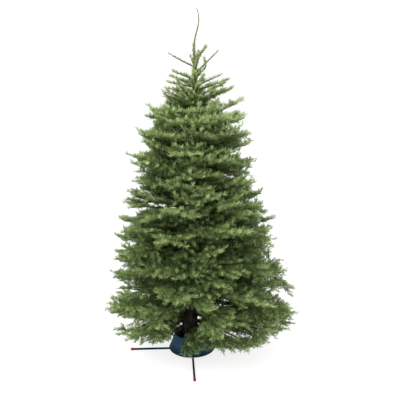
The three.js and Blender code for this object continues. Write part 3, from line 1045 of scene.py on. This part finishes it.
def bucket_profile():
    """The bucket, up its outside, over the bead of its rim and down its inside.

    The foot has the bead's rounding too, and the wall bends a few beads away from both.
    """
    foot, mouth, wall, bead = (BUCKET[key] for key in ("foot", "mouth", "wall", "bead"))
    return [
        (POLE, BUCKET_BASE),
        *rounded(foot - bead, BUCKET_BASE + bead, bead, -90, 60),
        (foot - bead, BUCKET_BASE + 2.6 * bead),
        (mouth, BUCKET_TOP - 2.4 * bead),
        *rounded(mouth, BUCKET_TOP - bead, bead, -70, 180, 12),
        (mouth - wall, BUCKET_TOP - 2.4 * bead),
        (foot - 2.6 * bead, BUCKET_BASE + 2.5 * bead),
        *rounded(foot - 4 * bead, BUCKET_BASE + wall + bead, bead, -10, -90),
        (POLE, BUCKET_BASE + wall),
    ]


def stand_part(name, parts, material, nodes):
    """One piece of the stand, joined from turned shapes, with its edges kept sharp."""
    piece = make_mesh(name, *join(parts), [material])
    piece.data.set_sharp_from_angle(angle=math.radians(SHARP))
    declare(piece, nodes)


def clamp_screw(outward):
    """A threaded screw from the trunk out through the bucket's wall, with its nut and its cross handle."""
    height, radius, reaches, point = (SCREW[key] for key in ("height", "radius", "reach", "point"))
    centre = height * UP
    inner = trunk_radius(height) + BUTT_OFFSET * outward[0]
    at_handle = reaches - HANDLE["radius"]
    crests = np.arange(inner + THREAD["start"], at_handle, THREAD["pitch"] / 2)
    thread = [(radius - THREAD["groove"] * (i % 2), place) for i, place in enumerate(crests)]
    shank = [(POLE, inner + point), (radius - point, inner + point), *thread, (POLE, crests[-1] + point)]
    share = (height - BUCKET_BASE) / (BUCKET_TOP - BUCKET_BASE)
    wall = BUCKET["foot"] + (BUCKET["mouth"] - BUCKET["foot"]) * share
    nut = bar(NUT["radius"], wall + NUT["gap"], wall + NUT["gap"] + NUT["length"])
    handle = bar(HANDLE["radius"], -HANDLE["length"] / 2, HANDLE["length"] / 2, HANDLE["edge"])
    return [
        turned(shank, SCREW_SIDES, centre, outward),
        turned(nut, NUT_SIDES, centre, outward),
        turned(handle, SCREW_SIDES, centre + outward * at_handle, np.cross(UP, outward)),
    ]


def make_stand():
    """The stand: its hub with four rod legs, their caps, the bucket and the clamp screws."""
    paint = paint_material()
    headings = [heading(LEG_TURN + 360 / LEGS * i, 0) for i in range(LEGS)]
    lifted = ROD_HEIGHT * UP
    rod = bar(ROD_RADIUS, HUB_RADIUS, LEG_REACH - CAP["end"])
    rods = [turned(rod, ROD_SIDES, lifted, outward) for outward in headings]
    cap = cap_profile()
    caps = [turned(cap, ROD_SIDES, outward * LEG_REACH + lifted, -outward) for outward in headings]
    screws = [part for outward in headings for part in clamp_screw(outward)]
    hub = turned(bar(HUB_RADIUS, 0, HUB_TOP, HUB_EDGE), HUB_SIDES)
    bucket = turned(bucket_profile(), BUCKET_SIDES)
    stand_part("stand_frame", [hub, *rods], paint, ["stand_hub", *numbered("stand_leg")])
    stand_part("leg_caps", caps, vinyl_material(), numbered("leg_cap"))
    stand_part("bucket", [bucket], paint, ["stand_bucket"])
    stand_part("clamp_screws", screws, zinc_material(), numbered("clamp_screw"))


# ---- studio ----

SKY_LOW = 1.02  # brightness at the horizon and overhead
SKY_HIGH = 2.0
FLOOR_WHITE = 0.24
FLOOR_GLOW = 0.80  # it is lit from below too, like a photographer's light table
FLOOR_HALF = 30.0
LAMP_SIZE = 2.6
LAMP_POWER = 170
LAMP_PLACE = (-2.4, -2.4, 4.4)
LAMP_AIM = (0, 0, 1)
CAMERA_PLACE = (0.052, -3.1, 1.620)
CAMERA_DOWN = 11.32  # degrees below the horizon
LENS = 45.85  # mm, on a sensor this wide
SENSOR = 36


def make_sky():
    """An even white sky, brighter overhead."""
    world = bpy.data.worlds.new("studio")
    world.use_nodes = True
    background = world.node_tree.nodes["Background"]
    place = add_node(world, "TexCoord").outputs["Generated"]
    height = add_node(world, "SeparateXYZ", Vector=place).outputs["Z"]
    brightness = add_node(world, "MapRange", Value=height, To_Min=SKY_LOW, To_Max=SKY_HIGH)
    fill(world, background, {"Color": (1, 1, 1, 1), "Strength": brightness.outputs["Result"]})
    bpy.context.scene.world = world


def make_floor():
    """A wide white floor that runs on into the sky."""
    corners = FLOOR_HALF * np.array([(-1, -1, 0), (1, -1, 0), (1, 1, 0), (-1, 1, 0)], float)
    floor_white = plain_material("floor", (FLOOR_WHITE,) * 3, roughness=0.9, specular=0.1)
    set_shader(floor_white, Emission_Color=(1, 1, 1, 1), Emission_Strength=FLOOR_GLOW)
    floor = make_mesh("floor", corners, np.array([[0, 1, 2, 3]]), [floor_white])


def make_lamp():
    """One soft lamp, high on the left in front."""
    light = bpy.data.lights.new("key", "AREA")
    light.size = LAMP_SIZE
    light.energy = LAMP_POWER
    lamp = bpy.data.objects.new("key", light)
    lamp.location = LAMP_PLACE
    lamp.rotation_euler = (Vector(LAMP_AIM) - lamp.location).to_track_quat("-Z", "Y").to_euler()
    bpy.context.collection.objects.link(lamp)


def make_camera():
    """A camera in front of the tree that looks a little down."""
    data = bpy.data.cameras.new("camera")
    data.lens = LENS
    data.sensor_width = SENSOR
    camera = bpy.data.objects.new("camera", data)
    camera.location = CAMERA_PLACE
    camera.rotation_euler = (math.radians(90 - CAMERA_DOWN), 0, 0)
    bpy.context.collection.objects.link(camera)
    bpy.context.scene.camera = camera


bpy.context.scene.view_settings.view_transform = "Standard"
make_sky()
make_floor()
make_lamp()
make_camera()
grow_layers()
grow_top()
grow_inside()
grow_foot()
make_needles()
make_wood()
make_stand()
